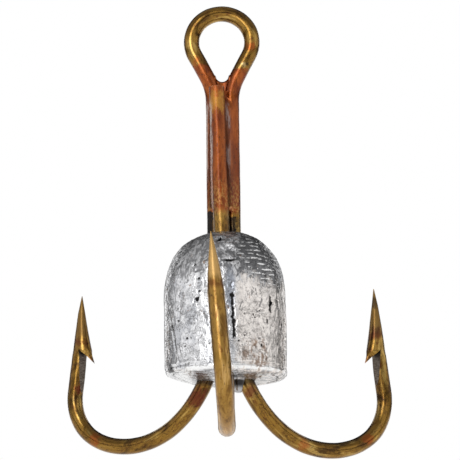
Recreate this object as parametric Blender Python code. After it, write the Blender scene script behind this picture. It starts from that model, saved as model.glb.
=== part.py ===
"""Weighted treble hook.

Two bronzed steel wires make the hook. One is bent at its middle into the line eye, and its two legs become
the left and the right hook. A second wire lies in front of them and becomes the front hook. Copper braze
fills the grooves between the wires, and a lead weight is cast round the foot of the shank.

Frame: the origin is the centre of the line eye, +Z runs up along the shank, -Y points to the front hook.
"""
import math

import bmesh
import bpy
from mathutils import Vector

MM = 0.001

# Driving dimensions. Lengths are in millimetres and angles in degrees.
WIRE_D = 2.6                 # hook wire
WIRE_PITCH = 3.0             # between the centres of neighbouring wires in the shank
JOINT_GAP = 0.3              # clearance between pieces that meet

EYE_R = 5.1                  # centreline radius of the line eye
EYE_LEG_ANGLE = 27.6         # how far the legs under the eye lean from the shank's axis
NECK_R = 8.0                 # bend where a leg turns into the shank
NECK_JOG_TOP = -4.0          # the legs move back from the eye's plane between these two heights
NECK_JOG_FOOT = -11.0

SHANK_FOOT = -48.7           # the hooks' bends start here
BEND_ARCS = ((19.7, 51.4), (15.8, 107.0), (11.3, 125.7), (8.2, 187.7))  # radius, heading at its end
HOOK_AZIMUTH = 30.0          # the side hooks stand 30 degrees behind the eye's plane
RIGHT_SIZE = 1.028           # the bends are made by hand, so no two hooks are quite alike
LEFT_SIZE = 0.972
FRONT_SIZE = 1.0
RIGHT_POINT_REACH = 17.9     # straight length from the end of the bend to the tip
LEFT_POINT_REACH = 16.6
FRONT_POINT_REACH = 17.7

FRONT_END = -8.65            # sawn end of the front wire, just under the eye
FRONT_END_SHIFT = -0.95      # and how far left of the middle it lies
FRONT_POINT_LEAN = 4.25      # the front hook's point leans to the left
CUT_CHAMFER = 0.2

TIP_R = 0.05                 # sharpness of the points
TIP_SHIFT = 1.0              # the tip lies this far outside the wire's centreline
SPEAR_TAPER = 9.2            # length over which the wire is ground down sideways to the tip
# Each barb is cut by hand: how far its end is from the tip along the wire and out from the wire's
# centreline, then the same for the bottom of the notch under it.
RIGHT_BARB = (12.7, 3.1, 10.6, 0.3)
LEFT_BARB = (11.5, 3.3, 9.2, 0.5)
FRONT_BARB = (12.1, 2.95, 9.9, 0.6)
BARB_FLARE = 0.15            # share of the barb's rise that comes only near its end
BARB_BACK = 0.6              # the raised metal goes this far past the barb's end, before it is cut
BARB_PINCH = 8               # how steeply the barb stands on the round wire; 0 would be an ellipse
SHAVE_REACH = 16.5           # the flat that the barbing chisel leaves runs out here

BRAZE_TOP = -6.93            # the braze fills the crotch under the eye up to here
BRAZE_FOOT = -29.7
BRAZE_BAR_SHARE = 0.75       # width of the rear bar, before the wires are cut from it
BRAZE_TOP_STEP = 0.2         # the filled crotch is this much thinner behind, at its top
BRAZE_ROOT = 0.35            # the front seams reach this near to the line between the wires' centres
FRONT_FOOT_SHIFT = -0.45     # the front wire is still this far left of the middle where the braze ends

LEAD_R = 9.93
LEAD_TOP = -33.25
LEAD_SHOULDER = -44.4        # the dome starts here
LEAD_FOOT = -57.45
LEAD_DOME_POWER = 2.3        # 2 would be an ellipse, more is fuller in the shoulder
LEAD_RIM_R = 0.8
THROAT_CLEARANCE = 0.45      # round the bundle of wires, where it enters the weight
THROAT_FOOT = -51.8          # below this each wire has a channel of its own
CHANNEL_CLEARANCE = 0.35
DRIP_X, DRIP_Y = 1.9, -0.7
DRIP_LENGTH = 2.3
DRIP_ROOT = 1.0              # the drip starts this far inside the weight
DRIP_TOP_R, DRIP_END_R = 1.0, 0.6

WIRE_SIDES = 16
LEAD_SIDES = 48
ARC_STEP = 10.0              # degrees between the rings of a bend

WIRE_R = WIRE_D / 2
BUNDLE_R = WIRE_PITCH / math.sqrt(3)             # from the shank's axis to each wire's centreline
LEG_X = BUNDLE_R * math.cos(math.radians(HOOK_AZIMUTH))
LEG_Y = BUNDLE_R * math.sin(math.radians(HOOK_AZIMUTH))


def material(name, colour, roughness, metallic):
    """One Principled material."""
    finish = bpy.data.materials.new(name)
    finish.use_nodes = True
    shader = finish.node_tree.nodes["Principled BSDF"]
    shader.inputs["Base Color"].default_value = (*colour, 1.0)
    shader.inputs["Roughness"].default_value = roughness
    shader.inputs["Metallic"].default_value = metallic
    return finish


def add_object(name, mesh_builder, finish=None):
    """Object from a bmesh; without a finish it is a helper, which isn't part of the model."""
    mesh_builder.normal_update()
    mesh = bpy.data.meshes.new(name)
    mesh_builder.to_mesh(mesh)
    mesh_builder.free()
    mesh.shade_smooth()
    mesh.set_sharp_from_angle(angle=math.radians(35))
    piece = bpy.data.objects.new(name, mesh)
    bpy.context.scene.collection.objects.link(piece)
    if finish is None:
        piece.hide_render = True
        piece.display_type = "WIRE"
    else:
        mesh.materials.append(finish)
    return piece


def boolean(piece, tool, operation):
    step = piece.modifiers.new(f"{operation.lower()}_{tool.name}", "BOOLEAN")
    step.operation = operation
    step.solver = "EXACT"
    step.object = tool


# ---- The wires' centrelines -------------------------------------------------------------------

def smooth(t):
    """Eases from 0 to 1."""
    t = min(1.0, max(0.0, t))
    return t * t * (3 - 2 * t)


def arc_steps(start, end):
    """Headings along an arc, without its first one."""
    count = max(1, math.ceil(abs(end - start) / ARC_STEP))
    return [start + (end - start) * (i + 1) / count for i in range(count)]


def hook_outline(size, reach, barb):
    """The bend and the point in the hook's own plane: (out from the axis, height, heading).

    The heading is 0 where the wire runs straight down and 180 where it points straight up.
    """
    out, height, heading = BUNDLE_R, SHANK_FOOT, 0.0
    outline = [(out, height, heading)]
    for radius, end in BEND_ARCS:
        for turn in arc_steps(heading, end):
            middle = math.radians((heading + turn) / 2)
            step = 2 * radius * size * math.sin(math.radians(turn - heading) / 2)
            out += step * math.sin(middle)
            height -= step * math.cos(middle)
            heading = turn
            outline.append((out, height, heading))
    straight = math.radians(heading)
    for from_tip in point_stations(barb):
        along = reach - from_tip
        if along > 0:
            outline.append((out + along * math.sin(straight), height - along * math.cos(straight), heading))
    return outline


def point_stations(barb):
    """Distances from the tip at which the point gets a ring, the farthest first."""
    barb_reach, _, notch_reach, _ = barb
    past_barb = [barb_reach + past for past in (2.0, 1.3, BARB_BACK, 0.1)]
    under_barb = [notch_reach + (barb_reach - notch_reach) * share for share in (0.7, 0.4, 0.1)]
    return (*past_barb, *under_barb, notch_reach - 0.9, 7.5, 6.0, 4.5, 3.0, 1.6, 0.6, 0.0)


def eye_outline():
    """Half of the eye and the leg under it, from the eye's top: (x, z)."""
    outline = [(0.0, EYE_R)]
    for heading in arc_steps(90.0, -EYE_LEG_ANGLE):
        turn = math.radians(heading)
        outline.append((EYE_R * math.cos(turn), EYE_R * math.sin(turn)))
    lean = math.radians(EYE_LEG_ANGLE)
    start_x = LEG_X + NECK_R * (1 - math.cos(lean))
    leg_x, leg_z = outline[-1]
    start_z = leg_z - (leg_x - start_x) / math.tan(lean)
    foot_z = start_z - NECK_R * math.sin(lean)
    outline.append((start_x, start_z))
    for heading in arc_steps(EYE_LEG_ANGLE, 0.0):
        turn = math.radians(heading)
        outline.append((LEG_X + NECK_R * (1 - math.cos(turn)), foot_z + NECK_R * math.sin(turn)))
    return outline


def side_wire(side, size, reach, barb):
    """Half of the double hook, from the eye's top to a tip: (centre, outward normal).

    side is 1 for the right half and -1 for the left one.
    """
    stations = []
    outline = eye_outline()
    for i, (x, z) in enumerate(outline):
        before = outline[max(0, i - 1)]
        after = outline[min(len(outline) - 1, i + 1)]
        tangent = Vector((after[0] - before[0], after[1] - before[1])).normalized()
        if i == 0:
            tangent = Vector((1.0, 0.0))
        jog = smooth((NECK_JOG_TOP - z) / (NECK_JOG_TOP - NECK_JOG_FOOT))
        stations.append((Vector((x, LEG_Y * jog, z)), Vector((tangent.y, 0.0, -tangent.x))))
    shank_top = outline[-1][1]
    for i in range(1, 6):
        drop = i / 6
        z = shank_top + (SHANK_FOOT - shank_top) * drop
        turn = math.radians(HOOK_AZIMUTH) * drop
        jog = smooth((NECK_JOG_TOP - z) / (NECK_JOG_TOP - NECK_JOG_FOOT))
        stations.append((Vector((LEG_X, LEG_Y * jog, z)), Vector((-math.cos(turn), -math.sin(turn), 0))))
    azimuth = math.radians(HOOK_AZIMUTH)
    radial = Vector((math.cos(azimuth), math.sin(azimuth), 0))
    for out, z, heading in hook_outline(size, reach, barb):
        turn = math.radians(heading)
        normal = -radial * math.cos(turn) - Vector((0, 0, math.sin(turn)))
        stations.append((radial * out + Vector((0, 0, z)), normal))
    return [(Vector((side * c.x, c.y, c.z)), Vector((side * n.x, n.y, n.z))) for c, n in stations]


def front_centre(x, z):
    """Centre of the front wire where it lies on the left leg, one pitch away from it."""
    return Vector((x, LEG_Y - math.sqrt(WIRE_PITCH ** 2 - (x + LEG_X) ** 2), z))


def front_wire():
    """The single hook's wire, from its sawn end to its tip: (centre, outward normal)."""
    stations = []
    count = 7
    for i in range(count):
        drop = i / count
        z = FRONT_END + (SHANK_FOOT - FRONT_END) * drop
        stations.append((front_centre(FRONT_END_SHIFT * (1 - drop), z), Vector((0, 1, 0))))
    outline = hook_outline(FRONT_SIZE, FRONT_POINT_REACH, FRONT_BARB)
    lowest = min(z for _, z, _ in outline)
    lean = math.tan(math.radians(FRONT_POINT_LEAN))
    for out, z, heading in outline:
        turn = math.radians(heading)
        x = -lean * (z - lowest) if heading > 90 else 0.0
        stations.append((Vector((x, -out, z)), Vector((0, math.cos(turn), -math.sin(turn)))))
    return stations


def in_shank(centre):
    """True from the legs under the eye down to where the wires have left the weight."""
    return LEAD_FOOT - 5.0 < centre.z < -3.0 and math.hypot(centre.x, centre.y) < 9.0


# ---- The wires' sections ----------------------------------------------------------------------

def point_section(from_tip, barb):
    """Section of the wire at a distance from its tip: (outer side, inner side, half width, pinch).

    The outer side runs straight on to the tip. The inner side slopes out from the tip to the barb's end,
    then falls back to the round wire. Below the barb the section is pinched to the round wire with the
    barb standing on it. The notch is cut afterwards.
    """
    barb_reach, barb_out, notch_reach, _ = barb
    outer = TIP_SHIFT + TIP_R + (WIRE_R - TIP_SHIFT - TIP_R) * min(1.0, from_tip / 3.0)
    tip_in = TIP_R - TIP_SHIFT
    share = min(1.0, from_tip / barb_reach)
    inner = tip_in + (barb_out - tip_in) * ((1 - BARB_FLARE) * share + BARB_FLARE * share ** 5)
    past_barb = from_tip - barb_reach - BARB_BACK
    if past_barb > 0:
        inner = WIRE_R + (inner - WIRE_R) * max(0.0, 1 - past_barb)
    ground = min(1.0, from_tip / SPEAR_TAPER)
    sideways = TIP_R + (WIRE_R - TIP_R) * (1 - (1 - ground) ** 1.25)
    return outer, inner, sideways, smooth((from_tip - notch_reach) / 1.2)


def outline_height(outer, inner, pinch, cosine):
    """How far out of the centreline the section's outline lies, at a cosine of its angle round the wire."""
    ellipse = (outer - inner) / 2 + (outer + inner) / 2 * cosine
    if cosine > 0:
        pinched = outer * cosine
    else:
        pinched = (WIRE_R + (inner - WIRE_R) * abs(cosine) ** BARB_PINCH) * cosine
    return ellipse + (pinched - ellipse) * pinch


def wire_rings(builder, stations, radius=WIRE_R, barb=None, mirrored=False, first_ring=None):
    """Rings of vertices round the stations, joined into a tube. Returns the list of rings.

    With a barb the end of the wire is ground to a point. Without one the tube is round all the way.
    """
    centres = [centre for centre, _ in stations]
    tip = centres[-1]
    rings = []
    for i, (centre, normal) in enumerate(stations):
        if i == 0 and first_ring:
            rings.append(first_ring)
            continue
        before = centres[max(0, i - 1)]
        after = centres[min(len(centres) - 1, i + 1)]
        tangent = (after - before).normalized()
        outward = (normal - normal.dot(tangent) * tangent).normalized()
        sideways = tangent.cross(outward) * (-1 if mirrored else 1)
        from_tip = (tip - centre).length
        outer, inner, across, pinch = radius, radius, radius, 0.0
        if barb and i > len(stations) / 2 and from_tip < SHAVE_REACH:
            outer, inner, across, pinch = point_section(from_tip, barb)
        ring = []
        for k in range(WIRE_SIDES):
            turn = 2 * math.pi * k / WIRE_SIDES
            height = outline_height(outer, inner, pinch, math.cos(turn))
            offset = outward * height + sideways * (across * math.sin(turn))
            ring.append(builder.verts.new((centre + offset) * MM))
        rings.append(ring)
    for upper, lower in zip(rings, rings[1:]):
        for k in range(WIRE_SIDES):
            face = (upper[k], lower[k], lower[(k + 1) % WIRE_SIDES], upper[(k + 1) % WIRE_SIDES])
            builder.faces.new(face[::-1] if mirrored else face)
    return rings


def close_solid(builder):
    """Caps the open ends and points every face outwards. Triangles are flat, so they cut cleanly."""
    ends = [edge for edge in builder.edges if edge.is_boundary]
    bmesh.ops.holes_fill(builder, edges=ends, sides=0)
    bmesh.ops.triangulate(builder, faces=builder.faces)
    bmesh.ops.recalc_face_normals(builder, faces=builder.faces)


def tube(name, stations, radius):
    """Plain round tube along part of a wire, used as a cutter."""
    builder = bmesh.new()
    wire_rings(builder, stations, radius)
    close_solid(builder)
    return add_object(name, builder)


def prism(name, outline, direction):
    """Solid between an outline, given as corner points, and its copy moved along a direction."""
    builder = bmesh.new()
    face = builder.faces.new([builder.verts.new(Vector(corner) * MM) for corner in outline])
    moved = bmesh.ops.extrude_face_region(builder, geom=[face])
    corners = [item for item in moved["geom"] if isinstance(item, bmesh.types.BMVert)]
    bmesh.ops.translate(builder, verts=corners, vec=Vector(direction) * MM)
    bmesh.ops.recalc_face_normals(builder, faces=builder.faces)
    return add_object(name, builder)


def notch_cutter(name, stations, barb):
    """Wedge that cuts the notch under a barb and shaves the flat below it."""
    barb_reach, barb_out, notch_reach, notch_in = barb
    tip, normal = stations[-1]
    straight = (tip - stations[-4][0]).normalized()
    inward = -(normal - normal.dot(straight) * straight).normalized()
    across = straight.cross(inward)
    beyond = 1.6
    wide = notch_in + (barb_out - notch_in) * beyond
    profile = (
        (notch_reach, notch_in),
        (notch_reach + (barb_reach - notch_reach) * beyond, wide),
        (SHAVE_REACH + 1.0, wide),
        (SHAVE_REACH + 1.0, WIRE_R + 0.1),
        (SHAVE_REACH, WIRE_R),
    )
    half_width = WIRE_D
    corners = [tip - straight * back + inward * out - across * half_width for back, out in profile]
    return prism(name, corners, across * 2 * half_width)


# ---- The pieces -------------------------------------------------------------------------------

def make_double_hook(right, left, finish):
    builder = bmesh.new()
    rings = wire_rings(builder, right, barb=RIGHT_BARB)
    wire_rings(builder, left, barb=LEFT_BARB, mirrored=True, first_ring=rings[0])
    close_solid(builder)
    piece = add_object("double_hook", builder, finish)
    boolean(piece, notch_cutter("notch_right", right, RIGHT_BARB), "DIFFERENCE")
    boolean(piece, notch_cutter("notch_left", left, LEFT_BARB), "DIFFERENCE")


def make_single_hook(front, finish):
    builder = bmesh.new()
    rings = wire_rings(builder, front, barb=FRONT_BARB)
    top = front[0][0]
    end = []
    for vert in rings[0]:
        offset = vert.co - top * MM
        end.append(builder.verts.new(top * MM + offset * (1 - CUT_CHAMFER / WIRE_R)))
    for vert in rings[0]:
        vert.co.z -= CUT_CHAMFER * MM
    for k in range(WIRE_SIDES):
        after = (k + 1) % WIRE_SIDES
        builder.faces.new((end[k], rings[0][k], rings[0][after], end[after]))
    close_solid(builder)
    piece = add_object("single_hook", builder, finish)
    boolean(piece, notch_cutter("notch_front", front, FRONT_BARB), "DIFFERENCE")


def make_braze(cutters, finish):
    """Three seams. Each is a bar laid in its groove, less the wires on both sides of it."""
    reach = WIRE_PITCH / 2 - JOINT_GAP
    flush = LEG_Y + WIRE_R
    web = (
        (-WIRE_R, BRAZE_TOP), (WIRE_R - BRAZE_TOP_STEP, BRAZE_TOP), (flush, NECK_JOG_FOOT), (flush, BRAZE_FOOT),
        (LEG_Y, BRAZE_FOOT), (LEG_Y, NECK_JOG_FOOT), (-WIRE_R, FRONT_END + JOINT_GAP),
    )
    half = reach * BRAZE_BAR_SHARE
    bars = {"braze_rear_seam": prism("bar_rear", [(-half, y, z) for y, z in web], (2 * half, 0, 0))}
    for name, side in (("braze_left_seam", -1), ("braze_right_seam", 1)):
        builder = bmesh.new()
        corners = []
        for z, shift in ((FRONT_END - 1.0, FRONT_END_SHIFT), (BRAZE_FOOT, FRONT_FOOT_SHIFT)):
            leg = Vector((side * LEG_X, LEG_Y, z))
            front = front_centre(shift, z)
            along = (front - leg).normalized()
            outward = Vector((along.y, -along.x, 0)) * -side
            middle = (leg + front) / 2
            wide = (front - leg).length / 2 - JOINT_GAP
            section = ((-wide, WIRE_R), (wide, WIRE_R), (wide, BRAZE_ROOT), (-wide, BRAZE_ROOT))
            corners.append([builder.verts.new((middle + along * a + outward * o) * MM) for a, o in section])
        for k in range(4):
            after = (k + 1) % 4
            builder.faces.new((corners[0][k], corners[0][after], corners[1][after], corners[1][k]))
        close_solid(builder)
        bars[name] = add_object(f"bar_{name}", builder)
    for name, bar in bars.items():
        bar.name = name
        bar.hide_render = False
        bar.display_type = "TEXTURED"
        bar.data.materials.append(finish)
        for cutter in cutters:
            boolean(bar, cutter, "DIFFERENCE")


def centre_at(stations, z):
    """Where a wire's centreline passes a height in the shank."""
    for (above, _), (below, _) in zip(stations, stations[1:]):
        if above.z >= z >= below.z:
            return above.lerp(below, (above.z - z) / (above.z - below.z))
    raise ValueError(f"no wire at {z}")


def make_throat(paths):
    """Cutter with the outline of the bundle, a lobe round each wire."""
    builder = bmesh.new()
    wall = WIRE_R + THROAT_CLEARANCE
    rings = []
    for z in (LEAD_TOP + 2.0, -36.0, -41.0, -45.0, SHANK_FOOT, -50.3, THROAT_FOOT):
        centres = [centre_at(path, z) for path in paths]
        ring = []
        for k in range(LEAD_SIDES):
            turn = 2 * math.pi * (k + 0.5) / LEAD_SIDES
            ray = Vector((math.cos(turn), math.sin(turn)))
            reach = 0.0
            for centre in centres:
                ahead = ray.dot(centre.xy)
                aside = ray.cross(centre.xy)
                if abs(aside) < wall:
                    reach = max(reach, ahead + math.sqrt(wall ** 2 - aside ** 2))
            ring.append(builder.verts.new(Vector((ray.x * reach, ray.y * reach, z)) * MM))
        rings.append(ring)
    for upper, lower in zip(rings, rings[1:]):
        for k in range(LEAD_SIDES):
            after = (k + 1) % LEAD_SIDES
            builder.faces.new((upper[k], lower[k], lower[after], upper[after]))
    close_solid(builder)
    return add_object("throat", builder)


def lead_profile():
    """Turned profile of the weight from the top to the underside: (radius, height)."""
    profile = []
    dome = LEAD_TOP - LEAD_SHOULDER
    steps = 12
    for i in range(1, steps + 1):
        turn = math.radians(90 * i / steps)
        fullness = 2 / LEAD_DOME_POWER
        profile.append((LEAD_R * math.sin(turn) ** fullness, LEAD_SHOULDER + dome * math.cos(turn) ** fullness))
    for i in range(4):
        turn = math.radians(30 * i)
        rim_x = LEAD_R - LEAD_RIM_R + LEAD_RIM_R * math.cos(turn)
        profile.append((rim_x, LEAD_FOOT + LEAD_RIM_R - LEAD_RIM_R * math.sin(turn)))
    return profile


def make_lead(cutters, finish):
    builder = bmesh.new()
    rings = []
    for radius, z in lead_profile():
        ring = []
        for k in range(LEAD_SIDES):
            turn = 2 * math.pi * k / LEAD_SIDES
            ring.append(builder.verts.new(Vector((radius * math.cos(turn), radius * math.sin(turn), z)) * MM))
        rings.append(ring)
    for upper, lower in zip(rings, rings[1:]):
        for k in range(LEAD_SIDES):
            after = (k + 1) % LEAD_SIDES
            builder.faces.new((upper[k], lower[k], lower[after], upper[after]))
    close_solid(builder)
    piece = add_object("lead_weight", builder, finish)

    builder = bmesh.new()
    bmesh.ops.create_cone(
        builder, cap_ends=True, segments=12, radius1=DRIP_END_R * MM, radius2=DRIP_TOP_R * MM,
        depth=(DRIP_LENGTH + DRIP_ROOT) * MM,
    )
    middle = LEAD_FOOT + (DRIP_ROOT - DRIP_LENGTH) / 2
    bmesh.ops.translate(builder, verts=builder.verts, vec=Vector((DRIP_X, DRIP_Y, middle)) * MM)
    boolean(piece, add_object("drip", builder), "UNION")

    for cutter in cutters:
        boolean(piece, cutter, "DIFFERENCE")


def main():
    for old in list(bpy.data.objects):
        bpy.data.objects.remove(old, do_unlink=True)

    right = side_wire(1, RIGHT_SIZE, RIGHT_POINT_REACH, RIGHT_BARB)
    left = side_wire(-1, LEFT_SIZE, LEFT_POINT_REACH, LEFT_BARB)
    front = front_wire()

    bronzed = material("bronzed_wire", (0.36, 0.20, 0.06), 0.35, 1.0)
    bronzed_front = material("bronzed_front_wire", (0.50, 0.29, 0.08), 0.32, 1.0)
    make_double_hook(right, left, bronzed)
    make_single_hook(front, bronzed_front)

    shank = {
        name: [(centre, normal) for centre, normal in stations if in_shank(centre)]
        for name, stations in (("right", right), ("left", left), ("front", front))
    }
    close = [tube(f"groove_{name}", path, WIRE_R + JOINT_GAP) for name, path in shank.items()]
    make_braze(close, material("copper_braze", (0.45, 0.14, 0.05), 0.4, 1.0))
    channels = [
        tube(f"channel_{name}", [step for step in path if step[0].z < SHANK_FOOT + 0.1], WIRE_R + CHANNEL_CLEARANCE)
        for name, path in shank.items()
    ]
    make_lead((make_throat(shank.values()), *channels), material("cast_lead", (0.62, 0.62, 0.63), 0.42, 1.0))


main()
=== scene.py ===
# %% [markdown]
# # A weighted treble hook
# Three barbed hooks stand back to back on one shank. Two of them are the ends of a single wire, which is
# bent at its middle into the line eye. The third is a second wire, sawn off just under the eye. Copper braze
# holds the wires together, and a lead weight is cast round the foot of the shank. The finished frame gives
# every size and place. This lesson remakes its pieces with finer shapes and real finishes.

import math

import bmesh
import bpy
import numpy as np
from mathutils import Matrix, Vector
from mathutils.kdtree import KDTree


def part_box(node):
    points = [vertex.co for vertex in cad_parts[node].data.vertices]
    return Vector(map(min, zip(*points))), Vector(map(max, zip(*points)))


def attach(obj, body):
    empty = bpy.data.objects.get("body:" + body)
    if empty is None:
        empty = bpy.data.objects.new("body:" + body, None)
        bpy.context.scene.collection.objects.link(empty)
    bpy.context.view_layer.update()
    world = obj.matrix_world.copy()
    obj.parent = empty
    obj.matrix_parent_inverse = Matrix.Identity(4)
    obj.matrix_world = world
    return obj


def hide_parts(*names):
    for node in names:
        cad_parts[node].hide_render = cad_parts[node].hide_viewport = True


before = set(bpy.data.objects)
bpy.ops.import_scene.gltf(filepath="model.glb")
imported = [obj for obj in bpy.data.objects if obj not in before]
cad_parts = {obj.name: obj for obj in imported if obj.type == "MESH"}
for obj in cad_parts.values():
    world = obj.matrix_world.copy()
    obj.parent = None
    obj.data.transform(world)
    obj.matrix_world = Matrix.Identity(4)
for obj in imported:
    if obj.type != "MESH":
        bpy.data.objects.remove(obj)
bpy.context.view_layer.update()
MM = 0.001
hook_low, hook_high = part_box("double_hook")
lead_low, lead_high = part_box("lead_weight")
print("pieces in the frame:", sorted(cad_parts))
print("tip to tip in mm:", round((hook_high.x - hook_low.x) / MM, 1))

# %% [markdown]
# ## Sizes
# Lengths are in millimetres and angles in degrees. The origin is the centre of the line eye, +Z runs up
# along the shank, and -Y points to the front hook.

# %% Sizes of the wires
WIRE_R = 1.3
WIRE_PITCH = 3.0
HOOK_AZIMUTH = 30.0
BUNDLE_R = WIRE_PITCH / math.sqrt(3)
LEG_X = BUNDLE_R * math.cos(math.radians(HOOK_AZIMUTH))
LEG_Y = BUNDLE_R * math.sin(math.radians(HOOK_AZIMUTH))

EYE_R = 5.1
EYE_LEG_ANGLE = 27.6
NECK_R = 8.0
NECK_JOG_TOP = -4.0
NECK_JOG_FOOT = -11.0

SHANK_FOOT = -48.7
BEND_ARCS = ((19.7, 51.4), (15.8, 107.0), (11.3, 125.7), (8.2, 187.7))
HOOK_SIZES = {"right": (1.028, 17.9), "left": (0.972, 16.6), "front": (1.0, 17.7)}
FRONT_END = -8.65
FRONT_END_SHIFT = -0.95
FRONT_POINT_LEAN = 4.25

# %% Sizes of the barbed points
TIP_R = 0.05
TIP_SHIFT = 1.0
SPEAR_TAPER = 9.2
BARBS = {  # each barb's distance from its tip and reach inwards, then its notch's distance and depth
    "right": (12.7, 3.1, 10.6, 0.3),
    "left": (11.5, 3.3, 9.2, 0.5),
    "front": (12.1, 2.95, 9.9, 0.6),
}
BARB_FLARE = 0.15
BARB_BACK = 0.6
PINCH_RUN = 1.2
SHAVE_REACH = 16.5

# %% Sizes of the braze and the weight
BRAZE_TOP = -6.93
BRAZE_FOOT = -29.7
LEAD_R = 9.93
LEAD_TOP = -33.25
LEAD_SHOULDER = -44.4
LEAD_FOOT = -57.45
LEAD_DOME_POWER = 2.3
LEAD_RIM_R = 0.85
DRIP_X = 1.9
DRIP_Y = -0.7
DRIP_LENGTH = 2.3
DRIP_R = 1.15
print("weight is", round((lead_high.z - lead_low.z) / MM, 1), "mm high in the frame")

# %% [markdown]
# ## Arithmetic on node sockets
# Shader and geometry trees are long chains of small sums. Wrapping a socket in a class whose operators add
# the nodes lets a chain be written the way it would be on paper.

# %% A socket that can be calculated with
class Value:
    """An output socket; arithmetic on it adds Math nodes to its tree."""

    def __init__(self, nodes, socket):
        self.nodes = nodes
        self.socket = socket

    def maths(self, operation, first, second=0.0):
        return self.nodes.add("ShaderNodeMath", {"operation": operation}, {0: first, 1: second})

    def __add__(self, other):
        return self.maths("ADD", self, other)

    def __sub__(self, other):
        return self.maths("SUBTRACT", self, other)

    def __rsub__(self, other):
        return self.maths("SUBTRACT", other, self)

    def __mul__(self, other):
        return self.maths("MULTIPLY", self, other)

    def __truediv__(self, other):
        return self.maths("DIVIDE", self, other)

    def __pow__(self, other):
        return self.maths("POWER", self, other)

    def __abs__(self):
        return self.maths("ABSOLUTE", self)

    __radd__ = __add__
    __rmul__ = __mul__


# %% One way to add any node
def spaced(sockets):
    return {name.replace("_", " "): value for name, value in sockets.items()}


class Nodes:
    """Adds nodes to one shader or geometry tree."""

    def __init__(self, tree):
        self.tree = tree

    def add(self, kind, settings=None, sockets=None, output=0):
        """Settings are set first, then each socket gets a value or a link."""
        node = self.tree.nodes.new(kind)
        for name, value in (settings or {}).items():
            setattr(node, name, value)
        for key, value in (sockets or {}).items():
            if isinstance(value, Value):
                self.tree.links.new(value.socket, node.inputs[key])
            else:
                node.inputs[key].default_value = value
        return Value(self, node.outputs[output])

    def vector(self, operation, first, second=(0, 0, 0), output=0):
        return self.add("ShaderNodeVectorMath", {"operation": operation}, {0: first, 1: second}, output)

    def geometry(self, kind, settings=None, output=0, **sockets):
        """A geometry node; an underscore in a socket's name stands for a space."""
        return self.add("GeometryNode" + kind, settings, spaced(sockets), output)

    def scaled(self, vector, factor):
        return self.add("ShaderNodeVectorMath", {"operation": "SCALE"}, {0: vector, "Scale": factor})

    def combine(self, x=0.0, y=0.0, z=0.0):
        return self.add("ShaderNodeCombineXYZ", None, {0: x, 1: y, 2: z})

    def distance(self, first, second):
        return self.vector("DISTANCE", first, second, 1)

    def band(self, value, low, high):
        """Rises smoothly from 0 to 1 while the value goes from low to high."""
        settings = {"interpolation_type": "SMOOTHSTEP"}
        return self.add("ShaderNodeMapRange", settings, {0: value, 1: low, 2: high, 3: 0.0, 4: 1.0})

    def mix(self, share, first, second):
        """Colour between first and second."""
        return self.add("ShaderNodeMix", {"data_type": "RGBA"}, {0: share, 6: first, 7: second}, 2)

    def coats(self, tone, *layers):
        """Lays (share, colour) layers over a tone, one after another."""
        for share, paint in layers:
            tone = self.mix(share, tone, paint)
        return tone

    def noise(self, where, scale, detail=2.0, roughness=0.5, distortion=0.0, stretch=(1, 1, 1), seed=0.0):
        """Noise round 0.5. A stretch below 1 draws the grain out along that axis, and the seed moves it."""
        settings = {"operation": "MULTIPLY_ADD"}
        moved = self.add("ShaderNodeVectorMath", settings, {0: where, 1: stretch, 2: (seed, -seed, 2 * seed)})
        sockets = {"Vector": moved, "Scale": scale, "Detail": detail, "Roughness": roughness,
                   "Distortion": distortion}
        return self.add("ShaderNodeTexNoise", {"noise_dimensions": "3D"}, sockets)

    def parts(self, vector):
        """x, y and z of a vector."""
        split = self.add("ShaderNodeSeparateXYZ", None, {0: vector})
        return [Value(self, socket) for socket in split.socket.node.outputs]

    def near(self, where, place, radius, edge=0.0, squeeze=(1.0, 1.0, 1.0)):
        """1 at a place and 0 a radius away from it. The edge value moves the border in and out, and the
        squeeze flattens the spot along an axis where it is above 1."""
        where = self.vector("MULTIPLY", where, squeeze)
        centre = tuple(a * b for a, b in zip(place, squeeze))
        return 1 - self.band(self.distance(where, centre) + edge, radius * 0.35, radius)

    def stored(self, name, kind="FLOAT_VECTOR"):
        """An attribute that the geometry carries."""
        return self.geometry("InputNamedAttribute", {"data_type": kind}, Name=name)

    def store(self, shape, name, value, kind="FLOAT"):
        settings = {"data_type": kind, "domain": "POINT"}
        return self.geometry("StoreNamedAttribute", settings, Geometry=shape, Name=name, Value=value)

    def hand_over(self, shape, finish, result):
        """Sends a shape with its finish to a geometry tree's output."""
        solid = self.geometry("RealizeInstances", Geometry=shape)
        solid = self.geometry("SetMaterial", Geometry=solid, Material=finish)
        self.tree.links.new(solid.socket, result.inputs[0])


def colour(red, green, blue):
    """Linear colour from the 0 to 255 values that a paint chart gives."""
    tones = [level / 255 for level in (red, green, blue)]
    return (*[t / 12.92 if t <= 0.04045 else ((t + 0.055) / 1.055) ** 2.4 for t in tones], 1.0)


print("antique bronze, linear:", [round(t, 3) for t in colour(120, 85, 25)[:3]])

# %% [markdown]
# ## Running a geometry tree
# Each tree gets named inputs, so that its sizes can be read and changed. The result is turned into a plain
# mesh at the end, because a finished piece carries no live modifier.

# %% Building and running geometry trees
SOCKET_KINDS = {int: "NodeSocketInt", float: "NodeSocketFloat", "material": "NodeSocketMaterial",
                "object": "NodeSocketObject"}


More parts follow.
